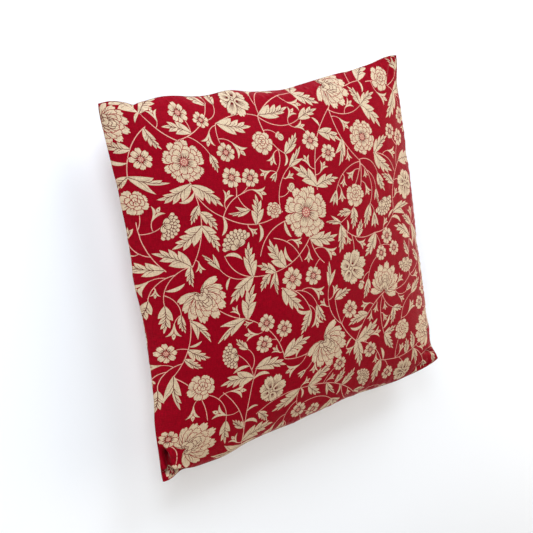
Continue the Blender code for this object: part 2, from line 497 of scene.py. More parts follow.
def signed_area(outline):
    """Returns twice an outline's area, negative where it runs clockwise."""
    return np.sum(outline.real * np.roll(outline.imag, -1) - np.roll(outline.real, -1) * outline.imag)


def grown(outline, margin):
    """Returns the outline moved out by a margin, for a line round a shape."""
    ahead = np.roll(outline, -1) - outline
    behind = outline - np.roll(outline, 1)
    step = ahead / np.maximum(np.abs(ahead), 1e-9) + behind / np.maximum(np.abs(behind), 1e-9)
    size = np.maximum(np.abs(step), 0.7)
    side = -1j if signed_area(outline) > 0 else 1j
    return outline + side * step / size * margin


def edged(outline, margin, edge=LINE):
    """Returns a cream shape with a line round it."""
    return [(edge, grown(outline, margin)), (CREAM, outline)]


def both_sides(shapes):
    """Returns shapes and their mirror images across the real axis."""
    return shapes + [(ink, np.conj(outline)) for ink, outline in shapes]


# ---- motifs
# Each motif lies along the real axis from its foot at 0 and has a length or radius of 1.
# Its size says how large it is drawn, so that its lines keep their own widths.

PETAL_LINE = 0.70 * MM
FINE_LINE = 0.50 * MM

Lobe = namedtuple("Lobe", "tip notch swell")
LEAF_SIDES = {
    # each side of a leaf: its lobes' tips, the notches behind them and how far their backs swell
    "full": (
        Lobe(0.45 + 0.230j, 0.41 + 0.105j, 0.120),
        Lobe(0.67 + 0.200j, 0.61 + 0.080j, 0.050),
        Lobe(0.85 + 0.125j, 0.79 + 0.042j, 0.035),
    ),
    "even": (
        Lobe(0.52 + 0.215j, 0.47 + 0.085j, 0.110),
        Lobe(0.78 + 0.155j, 0.71 + 0.050j, 0.050),
    ),
    "slim": (
        Lobe(0.60 + 0.145j, 0.54 + 0.058j, 0.095),
        Lobe(0.82 + 0.090j, 0.77 + 0.034j, 0.030),
    ),
    "cut": (Lobe(0.64 + 0.280j, 0.43 + 0.050j, 0.060),),
}
LEAF_KINDS = (
    ("full", "slim"), ("slim", "full"), ("even", "full"),
    ("even", "even"), ("slim", "cut"), ("full", "even"),
)


def leaf_side(lobes):
    """Returns the upper edge of a leaf, from its foot to its tip."""
    edge = []
    foot = 0.02j
    for lobe in lobes:
        bulge = foot + 0.42 * (lobe.tip - foot) + 1j * lobe.swell
        hollow = 0.4 * lobe.tip + 0.6 * lobe.notch + 0.012j
        edge += [quad(foot, bulge, lobe.tip, 6), quad(lobe.tip, hollow, lobe.notch, 2)]
        foot = lobe.notch
    edge.append(quad(foot, complex(0.5 * foot.real + 0.5, 1.1 * foot.imag), 1.0 + 0.0j, 5))
    return np.concatenate(edge)


def leaf(length, kind, curl):
    """A jagged leaf with a dark midrib, and two veins from it for each lobe."""
    fine = FINE_LINE / length
    sides = [LEAF_SIDES[name] for name in LEAF_KINDS[kind % len(LEAF_KINDS)]]
    lower = np.conj(leaf_side(sides[1]))
    outline = np.concatenate([[-0.03 + 0.0j], leaf_side(sides[0]), [1.0 + 0.0j], lower[::-1]])
    midrib = np.linspace(0.0, 0.86, 9) + 0.0j
    shapes = [(CREAM, outline), (LINE, ribbon(midrib, 1.6 * fine, 0.7 * fine))]
    for lobes, flip in zip(sides, (1.0, -1.0)):
        for lobe in lobes:
            notch = complex(lobe.notch.real, flip * lobe.notch.imag)
            tip = complex(lobe.tip.real, flip * lobe.tip.imag)
            root = complex(notch.real - 0.15, 0.0)
            bend = complex(0.5 * (root.real + notch.real) + 0.05, 0.25 * notch.imag)
            shapes.append(vein(root, bend, 1.02 * notch, 0.9 * fine, 1.7 * fine, 4))
            root = complex(root.real - 0.06, 0.0)
            end = 0.25 * root + 0.75 * (tip - 0.04)
            bend = complex(0.5 * (root.real + end.real) + 0.02, 0.3 * end.imag)
            shapes.append(vein(root, bend, end, 1.4 * fine, 0.5 * fine, 4))
    return [(ink, bent(shape, curl)) for ink, shape in shapes]


def blade(curl):
    """A plain, slender sickle leaf."""
    upper = quad(0.0 + 0.0j, 0.5 + 0.252j, 1.0 + 0.0j, 9)
    lower = quad(1.0 + 0.0j, 0.55 - 0.108j, 0.0 + 0.0j, 7)
    return [(CREAM, bent(np.concatenate([upper, lower]), curl))]


def petal(length, half_width, lobes, foot, ruffle):
    """The outline of one petal, from its foot at 0 to a ruffled end."""
    side = quad(complex(0.0, foot), complex(0.34, 1.06), complex(0.70, 1.0), 4)
    place = np.linspace(1.0, -1.0, 4 * lobes + 1)
    bumps = ruffle * (np.abs(np.sin(0.5 * math.pi * lobes * (place + 1.0))) - 0.4)
    round_end = np.sqrt(np.clip(1.0 - 0.96 * place**2, 0.0, 1.0)) ** 0.9
    end = 0.68 + 0.31 * round_end + bumps + 1j * place
    outline = np.concatenate([side, end, np.conj(side[::-1])])
    return length * outline.real + 1j * half_width * outline.imag


def petal_shapes(size, outline, at, turn, ticks, tick_reach, edge=LINE):
    """A petal with a line round it and fine lines up from its foot."""
    fine = FINE_LINE / size
    shapes = edged(at + outline * turn, PETAL_LINE / size, edge)
    for tick in ticks:
        start = at + turn * complex(0.04, 0.4 * tick)
        end = at + turn * complex(tick_reach * (1.0 - 2.0 * abs(tick)), 1.3 * tick)
        spine = np.array([start, 0.5 * (start + end), end])
        shapes.append((LINE, ribbon(spine, 2.3 * fine, 0.6 * fine)))
    return shapes


def alternate(count):
    """Returns the even numbers below a count and then the odd ones."""
    return list(range(0, count, 2)) + list(range(1, count, 2))


def ring(size, count, foot, reach, half_width, turn, lobes, ticks, tick_reach, ruffle, sway=5.0):
    """A ring of petals, every second one on top of its neighbours."""
    shapes = []
    for k in alternate(count):
        lean = turned(360.0 * k / count + turn + sway * math.sin(4.0 * k))
        long = (reach - foot) * (1.0 + 0.07 * math.sin(3.7 * k))
        outline = petal(long, half_width, lobes + (k % 3 == 0), 0.30, ruffle)
        shapes += petal_shapes(size, outline, foot * lean, lean, ticks, tick_reach * long, GROUND)
    return shapes


def seeds(radius, seed, count=8):
    """A pink middle with a ring of cream seeds."""
    shapes = [(BLUSH, disc(0.0, radius, 16))]
    for k in range(count):
        shapes.append((CREAM, disc(0.62 * radius * turned(360.0 * k / count), seed, 6)))
    return shapes + [(CREAM, disc(0.0, 1.1 * seed, 6))]


def dahlia(size):
    """A full double flower seen face on, with a dotted middle."""
    shapes = [(GROUND, disc(0.0, 0.80, 24))]
    shapes += ring(size, 14, 0.46, 1.0, 0.190, 7.0, 3, (-0.07, 0.0, 0.07), 0.74, 0.10)
    shapes += ring(size, 11, 0.30, 0.80, 0.180, 22.0, 3, (-0.07, 0.0, 0.07), 0.72, 0.10)
    shapes += ring(size, 8, 0.12, 0.60, 0.175, 14.0, 3, (-0.10, -0.04, 0.04, 0.10), 0.70, 0.09)
    return shapes + seeds(0.19, 0.036)


def daisy(size):
    """A small open flower with notched petals and a pink middle."""
    line = PETAL_LINE / size
    petals = 8
    shapes = ring(size, petals, 0.18, 1.0, 0.280, 0.0, 2, (-0.08, 0.08), 0.6, 0.10, sway=3.0)
    for k in range(petals):
        turn = turned(360.0 * (k + 0.5) / petals)
        shapes.append(ray(0.16 * turn, 0.46 * turn, 1.6 * line, 0.8 * line))
    return shapes + seeds(0.27, 0.06, 6)


def rose(size):
    """A rosette seen a little from the side, its heart off the middle."""
    shapes = [(GROUND, disc(0.0, 0.76, 20))]
    shapes += ring(size, 8, 0.34, 1.0, 0.31, 10.0, 3, (-0.10, 0.10), 0.66, 0.08)
    inner = ring(size, 6, 0.10, 0.62, 0.25, 30.0, 2, (-0.08, 0.0, 0.08), 0.66, 0.08)
    inner += ring(size, 4, 0.0, 0.34, 0.17, 0.0, 2, (0.0,), 0.6, 0.06)
    heart = 0.13 + 0.04j
    return shapes + [(ink, outline + heart) for ink, outline in inner]


PEONY_ROWS = (
    # petals, spread in degrees, length, half width, lobes
    (7, 84.0, 0.98, 0.165, 3),
    (6, 62.0, 0.84, 0.150, 3),
    (5, 44.0, 0.68, 0.135, 3),
    (4, 28.0, 0.52, 0.115, 2),
    (3, 16.0, 0.36, 0.095, 2),
)


def peony(size):
    """A full flower seen from the side, opening along the real axis from its foot."""
    line = PETAL_LINE / size
    shapes = []
    for side in (1.0, -1.0):
        outline = bent(petal(0.72, 0.12, 2, 0.30, 0.08), -1.1 * side)
        turn = turned(122.0 * side)
        shapes += petal_shapes(size, outline, 0.03j * side, turn, (-0.05, 0.05), 0.4, GROUND)
    for row, (count, spread, length, half_width, lobes) in enumerate(PEONY_ROWS):
        places = np.linspace(-1.0, 1.0, count)
        for k in sorted(range(count), key=lambda number: -abs(places[number])):
            lean = turned(places[k] * spread + 4.0 * math.sin(5.0 * k + row))
            uneven = 0.05 * math.sin(7.0 * k + 2.0 * row)
            long = length * (1.0 - 0.20 * abs(places[k]) ** 1.5 + uneven)
            outline = bent(petal(long, half_width, lobes, 0.2, 0.08), -0.6 * places[k])
            ticks = (-0.07, -0.02, 0.04) if k % 2 else (-0.04, 0.02, 0.07)
            edge = LINE if row > 2 else GROUND
            shapes += petal_shapes(size, outline, 0.0, lean, ticks, 0.80 * long, edge)
    for at, radius in ((0.04 + 0.13j, 0.115), (0.04 - 0.13j, 0.115), (0.13 + 0.0j, 0.135)):
        shapes += edged(disc(at, radius, 14), line)
        for lean in (-35.0, 0.0, 35.0):
            step = turned(180.0 + lean + heading_of(complex(0.3, at.imag)))
            start = at + 0.95 * radius * step
            shapes.append(ray(start, at + 0.1 * radius * step, 1.5 * line, 0.6 * line))
    return shapes


def open_flower(size):
    """A wide flower seen three-quarters on, its petals longer on one side."""
    line = PETAL_LINE / size
    petals = 8
    shapes = []
    for k in alternate(petals):
        angle = 360.0 * k / petals
        near = 0.5 + 0.5 * math.cos(math.radians(angle))
        long = 0.66 + 0.40 * near
        outline = petal(long, 0.26 + 0.05 * near, 3, 0.10, 0.10)
        edge = LINE if k % 2 else GROUND
        shapes += petal_shapes(size, outline, 0.0, turned(angle), (), 0.0, edge)
        for fan in (-12.0, -4.0, 4.0, 12.0):
            lean = turned(angle + fan)
            reach = (0.82 - 0.012 * abs(fan)) * long
            shapes.append(ray(0.22 * lean, reach * lean, 1.5 * line, 0.5 * line))
    return shapes + [(LINE, disc(0.0, 0.13, 9)), (CREAM, disc(0.0, 0.09, 8))]


def carnation(size):
    """A frilled half-round bloom on three round sepals."""
    line = PETAL_LINE / size
    shapes = []
    for radius, spread, bumps in ((1.0, 80.0, 9), (0.80, 74.0, 8), (0.60, 66.0, 6)):
        sweep = np.linspace(-1.0, 1.0, 4 * bumps + 1)
        frill = radius * (0.90 + 0.11 * np.abs(np.sin(0.5 * math.pi * bumps * (sweep + 1.0))))
        outline = np.concatenate([[0.06 + 0.0j], frill * np.exp(1j * np.radians(spread) * sweep)])
        shapes += edged(outline, line, GROUND if radius == 1.0 else LINE)
        for k in range(1, bumps):
            lean = turned(spread * (2.0 * k / bumps - 1.0))
            reach = (0.66 + 0.06 * (k % 2)) * radius
            shapes.append(ray(reach * lean, 0.90 * radius * lean, line, 2.0 * line))
    for lean, reach in ((70.0, 0.50), (-70.0, 0.50), (0.0, 0.46)):
        outline = petal(reach, 0.17, 2, 0.2, 0.04)
        shapes += petal_shapes(size, outline, 0.0, turned(lean), (-0.05, 0.05), 0.6 * reach)
    return shapes


def bud(size):
    """A small bud between two pointed, flared sepals."""
    fine = FINE_LINE / size
    horn = 0.74 + 0.58j
    outer = quad(-0.35 + 0.02j, 0.40 + 0.10j, horn, 7)
    inner = quad(horn, 0.66 + 0.12j, 0.40 + 0.0j, 5)
    shapes = both_sides([(CREAM, np.concatenate([outer, inner, [0.0 - 0.03j]]))])
    kernel = np.array([0.46 + 0.0j, 0.64 + 0.15j, 0.84 + 0.10j, 1.0 + 0.0j, 0.84 - 0.10j, 0.64 - 0.15j])
    return shapes + edged(kernel, 1.5 * fine, GROUND) + [(LINE, disc(0.74, 0.05, 5))]


def bell(size):
    """A longer bud that opens into three pointed tips."""
    fine = FINE_LINE / size
    horn = 0.92 + 0.36j
    outer = quad(-0.10 + 0.02j, 0.40 + 0.34j, horn, 8)
    inner = quad(horn, 0.74 + 0.16j, 0.62 + 0.0j, 5)
    sepal = (CREAM, np.concatenate([outer, inner, [0.0 - 0.02j]]))
    fold = vein(0.16 + 0.02j, 0.40 + 0.12j, 0.70 + 0.18j, 1.8 * fine, fine, 4)
    middle = np.array([0.40 + 0.0j, 0.62 + 0.09j, 1.04 + 0.0j, 0.62 - 0.09j])
    return both_sides([sepal, fold]) + edged(middle, 0.8 * fine)


def berry(size):
    """A round, closed bud with small sepals."""
    fine = FINE_LINE / size
    shapes = [(CREAM, petal(0.42, 0.10, 1, 0.2, 0.0) * turned(lean)) for lean in (62.0, -62.0, 0.0)]
    shapes += edged(disc(0.56, 0.36, 14), fine, GROUND)
    fold = vein(0.26 + 0.04j, 0.56 + 0.22j, 0.84 + 0.02j, 1.3 * fine, 0.8 * fine)
    return shapes + both_sides([fold])


def cone(size):
    """A small tapering cluster of scales."""
    shapes = []
    for row, count in enumerate((1, 2, 3, 2, 1)):
        for k in range(count):
            at = complex(0.92 - 0.17 * row, 0.20 * (k - 0.5 * (count - 1)))
            shapes += edged(disc(at, 0.135, 8), FINE_LINE / size)
    tip = 0.52 + 0.32j
    outer = quad(-0.04 + 0.02j, 0.12 + 0.30j, tip, 5)
    inner = quad(tip, 0.26 + 0.12j, 0.24 + 0.0j, 4)
    return shapes + both_sides([(CREAM, np.concatenate([outer, inner]))])


MOTIFS = {
    motif.__name__: motif
    for motif in (dahlia, peony, open_flower, rose, carnation, daisy, bud, bell, berry, cone)
}


# ---- layout of the print
# Places and lengths in these tables are millimetres, and turns are degrees.

Bloom = namedtuple("Bloom", "kind x y radius turn")
BLOOMS = rows_of(Bloom, {
    "dahlia": [
        (-150, 152, 24, 10), (-6, 66, 32, 0), (112, 140, 22, 30),
    ],
    "peony": [
        (-164, -2, 36, -66), (110, -66, 36, 70), (-2, -106, 40, -52), (-196, -190, 38, 20),
        (80, 216, 36, -34), (-224, 206, 29, -35), (206, -158, 34, 150),
    ],
    "open_flower": [
        (52, -22, 25, 10), (-84, -150, 21, 60), (192, 62, 22, 200), (150, -206, 20, 120),
        (-58, 214, 19, -80),
    ],
    "rose": [
        (78, 70, 15, 30), (-44, 160, 14, 80), (-176, -116, 16, 10), (142, -136, 15, 100),
        (178, 204, 16, 10), (-214, 112, 14, 10), (-52, 78, 10, 10),
    ],
    "carnation": [
        (-108, 44, 21, 110), (128, 52, 20, -70), (-190, 84, 18, -30), (166, -38, 19, -100),
        (62, -190, 19, 30), (-130, -86, 18, 190),
    ],
    "daisy": [
        (-196, 160, 12, 0), (-96, 156, 11, 0), (-98, 126, 12, 20), (-74, 122, 11, 10),
        (26, 152, 12, 0), (48, 132, 11, 15), (-42, -12, 14, 0), (-10, -16, 12, 15),
        (-86, -58, 11, 0), (-62, -72, 11, 10), (-92, -84, 11, 20), (128, 4, 11, 0),
        (112, -16, 10, 12), (140, -16, 10, 6), (44, -76, 12, 0), (206, 150, 11, 0),
        (190, 124, 11, 0), (170, 136, 10, 12), (78, -146, 11, 0), (116, -196, 10, 0),
        (-38, -196, 11, 0), (-12, -206, 10, 14), (-210, -66, 11, 0), (208, -92, 11, 0),
        (190, -110, 10, 10), (-136, 206, 11, 0), (-112, 196, 9, 0), (24, -148, 10, 0),
        (-214, -171, 10, 20), (-209, -216, 10, 0),
    ],
})

STEMS = (
    # from x, y to x, y, and how far each bows to the left of its run, as a share of its length
    (-150, 128, -120, 82, -0.25), (-120, 82, -40, 74, -0.3), (-150, 128, -168, 30, 0.22),
    (-150, 176, -180, 214, 0.2), (-150, 176, -96, 214, -0.25), (-180, 196, -214, 140, -0.25),
    (-120, 82, -86, 106, 0.25), (-6, 34, -98, 4, 0.30), (-98, 4, -128, 36, 0.3),
    (-6, 34, 10, -4, -0.2), (-38, 62, -82, 26, -0.3), (18, 90, 70, 186, 0.25),
    (70, 186, 98, 112, -0.22), (70, 186, 140, 210, 0.2), (98, 112, 82, 84, 0.1),
    (98, 112, 44, 40, 0.34), (44, 40, 104, 14, -0.35), (104, 14, 150, 32, -0.3),
    (150, 32, 182, 96, 0.25), (110, -66, 172, -62, -0.3), (172, -62, 212, 30, 0.2),
    (110, -70, 52, -124, -0.2), (52, -124, 20, -54, 0.22), (-6, -106, -64, -112, 0.25),
    (-64, -112, -112, -46, -0.25), (-112, -46, -160, -6, 0.22), (-118, -214, -104, -110, 0.12),
    (-118, -214, -150, -130, -0.2), (-104, -176, -30, -164, 0.2), (-30, -164, 56, -206, 0.2),
    (52, -124, 100, -170, 0.25), (100, -170, 196, -160, -0.25), (196, -160, 204, -70, -0.15),
    (-196, 30, -216, 90, 0.2), (-180, -30, -206, -96, 0.2), (-206, -96, -170, -160, 0.25),
    (150, 206, 206, 176, 0.25), (-96, 190, -36, 192, 0.2), (-36, 192, -16, 142, -0.3),
    (-36, 192, 30, 216, 0.2), (126, 116, 166, 84, 0.3), (-60, 44, -24, 6, 0.3),
    (-60, -20, -20, -60, 0.3), (-84, 84, -96, 102, 0.2), (-206, -196, -215, -179, -0.3),
    (-206, -197, -210, -209, 0.2), (-118, -214, -121, -230, 0.0),
)

# widths at the two ends, in metres
STEM_WIDTHS = (1.0 * MM, 0.8 * MM)
SCROLL_WIDTHS = (0.9 * MM, 0.65 * MM)
STALK_WIDTHS = (0.8 * MM, 0.65 * MM)
STALK_BOW = 0.22
LONG_STALK = 24 * MM  # what is longer may branch

DISCS = {
    # where a motif of radius or length 1 takes up room: centres and radii of discs
    "peony": (
        [0.0, 0.45, 0.60, 0.42 + 0.40j, 0.42 - 0.40j, -0.2 + 0.45j, -0.2 - 0.45j],
        [0.2, 0.48, 0.38, 0.26, 0.26, 0.2, 0.2],
    ),
    "carnation": ([0.1, 0.5, 0.5 + 0.5j, 0.5 - 0.5j], [0.3, 0.5, 0.4, 0.4]),
    "other bloom": ([0.0], [0.98]),
    "leaf": ([0.30, 0.45, 0.60, 0.78, 0.94], [0.125, 0.145, 0.13, 0.085, 0.03]),
    "blade": ([0.25, 0.5, 0.75, 0.98], [0.08, 0.10, 0.08, 0.02]),
}

GROWTH = (
    # a scroll's length, its spacing, its end's length and the room at it; leaves' lengths and spacings
    ((62, 22, 33, 10.0), ((44, 34), (37, 27))),
    ((44, 13, 28, 7.0), ((34, 26), (29, 21))),
    ((32, 9, 22, 5.0), ((25, 18),)),
)
TWIGS = (
    # motif, how often, length of the twig and size of the motif
    ("bud", 3, 22, 17),
    ("bell", 17, 16, 19),
    ("cone", 19, 18, 16),
    ("berry", 13, 18, 12),
    ("bud", 2, 17, 15),
    ("blade", 7, 1, 24),
    ("bud", 1, 12, 13),
    ("blade", 5, 1, 17),
    ("bud", 1, 7, 11),
    ("bud", 1, 4, 9),
)
LEAF_CLEAR = 2.8 * MM
SCROLL_CLEAR = 1.5 * MM
TWIG_CLEAR = 2.1 * MM
TWIG_SPACING = 7 * MM
CELL = 2.5 * MM


class Drawing:
    """The whole print: stems at the bottom, then leaves and buds, then blooms.

    Its room is how far each place on the cloth is from the nearest motif drawn so far.
    """

    def __init__(self):
        self.layers = ([], [], [])
        self.branches = []
        count = int(round(2.0 * PRINT_HALF / CELL)) + 1
        axis = np.linspace(-PRINT_HALF, PRINT_HALF, count)
        self.places = axis[None, :] + 1j * axis[:, None]
        self.room = np.full((count, count), np.inf)

    def fill(self, centres, radii):
        """Takes up the room of some discs."""
        for centre, radius in np.broadcast(centres, radii):
            np.minimum(self.room, np.abs(self.places - centre) - radius, out=self.room)

    def is_free(self, centres, radii, margin):
        """Tells whether discs lie on the cloth and clear of all others by a margin."""
        if max(np.abs(centres.real).max(), np.abs(centres.imag).max()) >= PRINT_HALF:
            return False
        column = np.round((centres.real + PRINT_HALF) / CELL).astype(int)
        row = np.round((centres.imag + PRINT_HALF) / CELL).astype(int)
        return bool(np.all(self.room[row, column] > radii + margin))

    def stem(self, spine, widths, grows=True):
        """Draws a stem, from which more may grow."""
        self.layers[0].append((STEM, ribbon(spine, *widths)))
        self.fill(spine, 0.5 * widths[0])
        if grows:
            self.branches.append(spine)

    def add(self, layer, shapes, at, degrees, size, centres, radii):
        """Draws a motif at its size and place, and takes up its room."""
        turn = size * turned(degrees)
        self.layers[layer].extend((ink, at + turn * outline) for ink, outline in shapes)
        self.fill(centres, radii)


def bow_spine(a, b, bow, count=14):
    """Returns a curve from a to b that bows to the left of its run."""
    control = 0.5 * (a + b) + 1j * (b - a) * bow
    return np.append(quad(a, control, b, count), b)


def curl_spine(at, heading, length, curl, count):
    """Returns a curling spine and the unit step that it ends with."""
    spine = at + length * turned(heading) * bent(np.linspace(0.0, 1.0, count) + 0.0j, curl)
    step = spine[-1] - spine[-2]
    return spine, step / abs(step)


def branch_places(drawing, spacing):
    """Returns places along the branches: number, place, heading and the side to grow on."""
    found = []
    number = 0
    for spine in drawing.branches:
        run = np.abs(np.diff(spine))
        along = np.concatenate([[0.0], np.cumsum(run)])
        count = max(int(along[-1] / spacing), 2)
        for distance in np.linspace(0.04, 0.98, count) * along[-1]:
            k = max(min(int(np.searchsorted(along, distance)), len(run)) - 1, 0)
            step = spine[k + 1] - spine[k]
            at = spine[k] + (distance - along[k]) / run[k] * step
            for side in ((1, -1) if number % 2 else (-1, 1)):
                found.append((number, at, heading_of(step), side))
            number += 1
    return found


def add_blooms(drawing):
    """Draws the blooms at their places."""
    for bloom in BLOOMS:
        at = complex(bloom.x, bloom.y) * MM
        size = bloom.radius * MM
        places, radii = DISCS.get(bloom.kind, DISCS["other bloom"])
        centres = at + size * turned(bloom.turn) * np.array(places)
        shapes = MOTIFS[bloom.kind](size)
        drawing.add(2, shapes, at, bloom.turn, size, centres, size * np.array(radii))


def add_stalks(drawing):
    """Gives every smaller bloom a thin stalk back to the nearest branch."""
    for bloom in BLOOMS:
        if bloom.kind in ("dahlia", "peony"):
            continue
        at = complex(bloom.x, bloom.y) * MM
        spine = min(drawing.branches, key=lambda branch: np.abs(branch - at).min())
        gaps = np.abs(spine - at)
        k = int(np.argmin(gaps))
        if gaps[k] < 1.25 * bloom.radius * MM:
            continue
        bow = STALK_BOW if bloom.x > 0 else -STALK_BOW
        stalk = bow_spine(spine[max(k - 2, 0)], at, bow, 10)
        drawing.stem(stalk, STALK_WIDTHS, grows=gaps[k] > LONG_STALK)


def try_leaf(drawing, at, heading, length, curl, margin, kind=None):
    """Draws a leaf of a kind, or else a blade, if its place is free."""
    places, halves = DISCS["blade" if kind is None else "leaf"]
    centres = at + length * turned(heading) * bent(np.array(places) + 0.0j, curl)
    radii = length * np.array(halves)
    if not drawing.is_free(centres, radii, margin):
        return False
    shapes = blade(curl) if kind is None else leaf(length, kind, curl)
    drawing.add(1, shapes, at, heading, length, centres, radii)
    return True


def grow_scrolls(drawing, length_mm, spacing_mm, end_mm, clear_mm):
    """Sends curling side branches into the larger gaps, each with a leaf or a bud at its end."""
    radii = np.concatenate([np.linspace(1.5, clear_mm, 10), [5.0, 5.0, 2.0]]) * MM
    for number, at, heading, side in branch_places(drawing, spacing_mm * MM):
        for lean, curl in ((30, -1.3), (55, -1.6), (40, 0.9), (75, -1.2)):
            spine, out = curl_spine(at, heading + side * lean, length_mm * MM, side * curl, 14)
            end = spine[-1] + end_mm * MM * out * np.array([0.3, 0.6, 0.9])
            if not drawing.is_free(np.concatenate([spine[4:], end]), radii, SCROLL_CLEAR):
                continue
            drawing.stem(spine, SCROLL_WIDTHS)
            if (number + side) % 3 == 0:
                size = 0.55 * end_mm * MM
                drawing.add(1, bell(size), spine[-1], heading_of(out), size, end, radii[-3:])
            else:
                curl = 0.35 * side
                try_leaf(drawing, spine[-1], heading_of(out), end_mm * MM, curl, -4.0 * MM, number)
            break


def grow_leaves(drawing, sizes):
    """Sets leaves along the branches wherever there is room, the longest first."""
    kind = 0
    for length_mm, spacing_mm in sizes:
        for _, at, heading, side in branch_places(drawing, spacing_mm * MM):
            if max(abs(at.real), abs(at.imag)) > PRINT_HALF:
                continue
            for lean, bow in ((34, 0.5), (48, -0.45), (64, 0.6)):
                angle = heading + side * lean
                if try_leaf(drawing, at, angle, length_mm * MM, bow * side, LEAF_CLEAR, kind):
                    kind += 1
                    break


def try_twig(drawing, motif, at, heading, side, reach, size):
    """Draws a twig with a small motif at its end if there is room for it."""
    spine, out = curl_spine(at, heading, reach, -1.1 * side, 7)
    centres = np.array([spine[3], spine[-1] + 0.1 * size * out, spine[-1] + 0.6 * size * out])
    radii = np.array([0.5 * MM, 0.18 * size, 0.42 * size])
    if not drawing.is_free(centres, radii, TWIG_CLEAR):
        return False
    drawing.stem(spine, STALK_WIDTHS, grows=False)
    shapes = MOTIFS[motif](size)
    drawing.add(1, shapes, spine[-1], heading_of(out), size, centres[1:], radii[1:])
    return True


def grow_twigs(drawing):
    """Fills what room is left with blades and with small motifs on short twigs."""
    for motif, every, reach_mm, size_mm in TWIGS:
        reach = reach_mm * MM
        size = size_mm * MM
        for number, at, heading, side in branch_places(drawing, TWIG_SPACING):
            if number % every:
                continue
            for lean in (38, 62, 90, 20):
                angle = heading + side * lean
                if motif == "blade":
                    drawn = try_leaf(drawing, at, angle, size, 1.2 * side, TWIG_CLEAR)
                else:
                    drawn = try_twig(drawing, motif, at, angle, side, reach, size)
                if drawn:
                    break


def draw_print():
    """Draws the print and returns its shapes, the lowest first."""
    drawing = Drawing()
    add_blooms(drawing)
    for x0, y0, x1, y1, bow in STEMS:
        drawing.stem(bow_spine(complex(x0, y0) * MM, complex(x1, y1) * MM, bow), STEM_WIDTHS)
    add_stalks(drawing)
    for scrolls, leaves in GROWTH:
        grow_scrolls(drawing, *scrolls)
        grow_leaves(drawing, leaves)
    grow_twigs(drawing)
    return [shape for layer in drawing.layers for shape in layer]


# ---- the panels' surfaces


def spline_weights(share):
    """Returns the four weights of a uniform cubic B-spline."""
    rest = 1.0 - share
    return (
        rest**3 / 6.0,
        (3.0 * share**3 - 6.0 * share**2 + 4.0) / 6.0,
        (3.0 * rest**3 - 6.0 * rest**2 + 4.0) / 6.0,
        share**3 / 6.0,
    )


def widened(grid):
    """Runs a grid of points on by one cell at each side."""
    grid = np.concatenate([2.0 * grid[:1] - grid[1:2], grid, 2.0 * grid[-1:] - grid[-2:-1]])
    before = 2.0 * grid[:, :1] - grid[:, 1:2]
    after = 2.0 * grid[:, -1:] - grid[:, -2:-1]
    return np.concatenate([before, grid, after], axis=1)


def crease_relief(crease, x, y):
    """Returns the height of a crease: a trough along its line and a low lip beside it."""
    run = np.array([crease.x1 - crease.x0, crease.y1 - crease.y0])
    length = np.hypot(run[0], run[1])
    along = ((x - crease.x0) * run[0] + (y - crease.y0) * run[1]) / length**2
    beyond = np.abs(along - np.clip(along, 0.0, 1.0)) * length
    across = ((y - crease.y0) * run[0] - (x - crease.x0) * run[1]) / length
    trough = np.exp(-((across / crease.half_width) ** 2))
    lip = crease.lip * np.exp(-(((across + 2.0 * crease.half_width) / crease.half_width) ** 2))
    fade = np.exp(-((beyond / (1.6 * crease.half_width)) ** 2))
    return crease.depth * fade * (lip - trough)


class Surface:
    """One panel's settled surface with its small relief on top."""

    def __init__(self, grid, creases, outwards):
        self.cells = grid.shape[0] - 1
        self.grid = widened(grid)
        self.creases = creases
        self.outwards = outwards

    def settled(self, u, v):
        """Returns the settled surface's points."""
        along = 0.5 * (u + 1.0) * self.cells
        across = 0.5 * (v + 1.0) * self.cells
        i = np.clip(np.floor(along).astype(int), 0, self.cells - 1)
        j = np.clip(np.floor(across).astype(int), 0, self.cells - 1)
        total = np.zeros(u.shape + (3,))
        for a, first in enumerate(spline_weights(along - i)):
            for b, second in enumerate(spline_weights(across - j)):
                total += (first * second)[..., None] * self.grid[i + a, j + b]
        return total

    def normals_of(self, points_at, u, v, reach):
        """Returns unit normals of a surface, given as a function of u and v."""
        span = reach / PANEL_HALF
        along = points_at(np.minimum(u + span, 1.0), v) - points_at(np.maximum(u - span, -1.0), v)
        across = points_at(u, np.minimum(v + span, 1.0)) - points_at(u, np.maximum(v - span, -1.0))
        normal = self.outwards * np.cross(along, across)
        return normal / np.maximum(np.linalg.norm(normal, axis=-1, keepdims=True), 1e-12)

    def relief(self, u, v, points):
        """Returns how far the cloth stands off its settled surface."""
        height = np.zeros_like(u)
        for distance, along in ((1.0 - np.abs(u), v), (1.0 - np.abs(v), u)):
            gap = PANEL_HALF * distance
            turns = 2.0 * math.pi * (PANEL_HALF * along)
            height -= SEAM_GROOVE * np.exp(-((gap / SEAM_GROOVE_HALF) ** 2))
            swing = turns / GATHER_WAVE + 1.9 * np.sin(turns / GATHER_DRIFT)
            gather = np.sin(swing) + 0.6 * np.sin(1.73 * swing + 1.0)
            height += GATHER_DEPTH * gather * (gap / GATHER_REACH) * np.exp(1.0 - gap / GATHER_REACH)
        seam_gap = PANEL_HALF * (1.0 - np.maximum(np.abs(u), np.abs(v)))
        clear = np.clip(seam_gap / CREASE_CLEAR, 0.0, 1.0)
        for crease in self.creases:
            height += clear * crease_relief(crease, points[..., 0], points[..., 1])
        return height

    def points(self, u, v):
        """Returns the panel's finished points."""
        base = self.settled(u, v)
        normal = self.normals_of(self.settled, u, v, SETTLED_REACH)
        return base + normal * self.relief(u, v, base)[..., None]

    def normals(self, u, v):
        """Returns the finished panel's normals."""
        return self.normals_of(self.points, u, v, RELIEF_REACH)


# ---- cutting the print into the mesh


def as_vectors(points):
    """Returns complex numbers as 2-D vectors."""
    return [Vector((float(point.real), float(point.imag))) for point in points]


